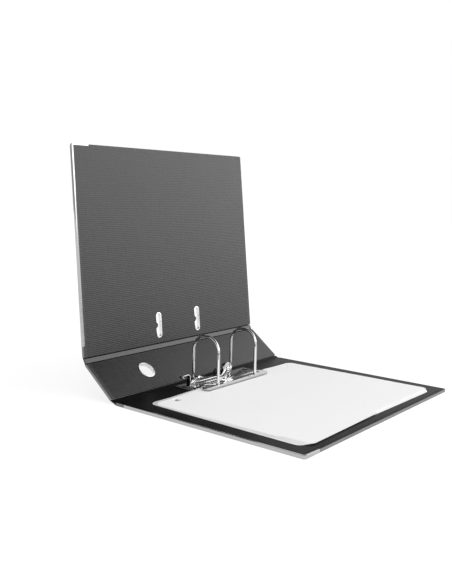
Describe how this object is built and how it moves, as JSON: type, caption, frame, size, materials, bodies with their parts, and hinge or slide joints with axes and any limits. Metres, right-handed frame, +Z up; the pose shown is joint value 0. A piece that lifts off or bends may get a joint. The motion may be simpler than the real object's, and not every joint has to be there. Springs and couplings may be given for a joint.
{
  "type": "lever arch file",
  "caption": "Ring binder of the lever arch kind, open, with cloth-covered boards, chrome edge rails, a two-post arch mechanism, finger ring and punched sheets.",
  "frame": {"origin": "underside of the back cover, midway between the two filing posts", "axes": "+X towards the back cover's fore edge, +Y along the spine away from the metal-railed edge, +Z up"},
  "size_m": [0.3611, 0.3444, 0.3176],
  "materials": {
    "board": "grey board",
    "cloth": "embossed linen, semi-matt",
    "lining": "ribbed lining paper, matt",
    "strip": "joint cloth",
    "rail": "bright plated",
    "plated": "bright nickel plated",
    "roller": "moulded",
    "sheet": "uncoated",
    "label": "coated, bare"
  },
  "bodies": {
    "back_cover": {"back_board": "board", "back_cloth": "cloth", "back_lining": "lining", "back_edge_rail": "rail", "base_plate": "plated", "plate_rivets": "plated", "near_post": "plated", "far_post": "plated", "lever_bracket": "plated", "lever_pin": "plated", "filing_sheets": "sheet"},
    "back_strip": {"back_hinge_strip": "strip"},
    "spine": {"spine_board": "board", "spine_cloth": "cloth", "spine_lining": "lining", "finger_ring": "rail", "ring_washer": "rail", "spine_label": "label"},
    "front_strip": {"front_hinge_strip": "strip"},
    "front_cover": {"front_board": "board", "front_cloth": "cloth", "front_lining": "lining", "front_edge_rail": "rail", "near_slot_eyelet": "rail", "far_slot_eyelet": "rail"},
    "arches": {"arch_wire": "plated"},
    "lever": {"lever_arm": "plated", "finger_tab": "plated", "tab_rivet": "plated", "roller_pin": "plated"},
    "roller": {"pressure_roller": "roller"},
    "compressor": {"compressor_bar": "plated"}
  },
  "joints": [
    {"name": "back_hinge", "type": "hinge", "parent": "back_cover", "child": "spine", "pos_m": [-0.0516, 0, 0.00374], "axis": [0, -1, 0], "range_deg": [-53, 37]},
    {"name": "back_strip_turn", "type": "hinge", "parent": "back_cover", "child": "back_strip", "pos_m": [-0.048, 0, 0.0019], "axis": [0, -1, 0], "range_deg": [-26.5, 18.5]},
    {"name": "front_hinge", "type": "hinge", "parent": "spine", "child": "front_cover", "pos_m": [-0.10517, 0, 0.0442], "axis": [0, -1, 0], "range_deg": [-43, 47]},
    {"name": "front_strip_turn", "type": "hinge", "parent": "spine", "child": "front_strip", "pos_m": [-0.1035, 0, 0.04055], "axis": [0, -1, 0], "range_deg": [-21.5, 23.5]},
    {"name": "lever_lift", "type": "hinge", "parent": "back_cover", "child": "lever", "pos_m": [-0.0225, 0.004, 0.0184], "axis": [-1, 0, 0], "range_deg": [0, 60]},
    {"name": "arch_swing", "type": "hinge", "parent": "back_cover", "child": "arches", "pos_m": [-0.043, 0, 0.008], "axis": [0, -1, 0], "range_deg": [0, 48]},
    {"name": "roller_spin", "type": "hinge", "parent": "lever", "child": "roller", "pos_m": [-0.033, -0.004, 0.0142], "axis": [1, 0, 0], "continuous": true},
    {"name": "compressor_slide", "type": "slide", "parent": "back_cover", "child": "compressor", "axis": [0, 0, 1], "range_m": [0, 0.036]}
  ],
  "couplings": [
    {"joint": "back_strip_turn", "follows": "back_hinge", "ratio": 0.5},
    {"joint": "front_strip_turn", "follows": "front_hinge", "ratio": 0.5},
    {"joint": "arch_swing", "follows": "lever_lift", "ratio": 0.8}
  ]
}
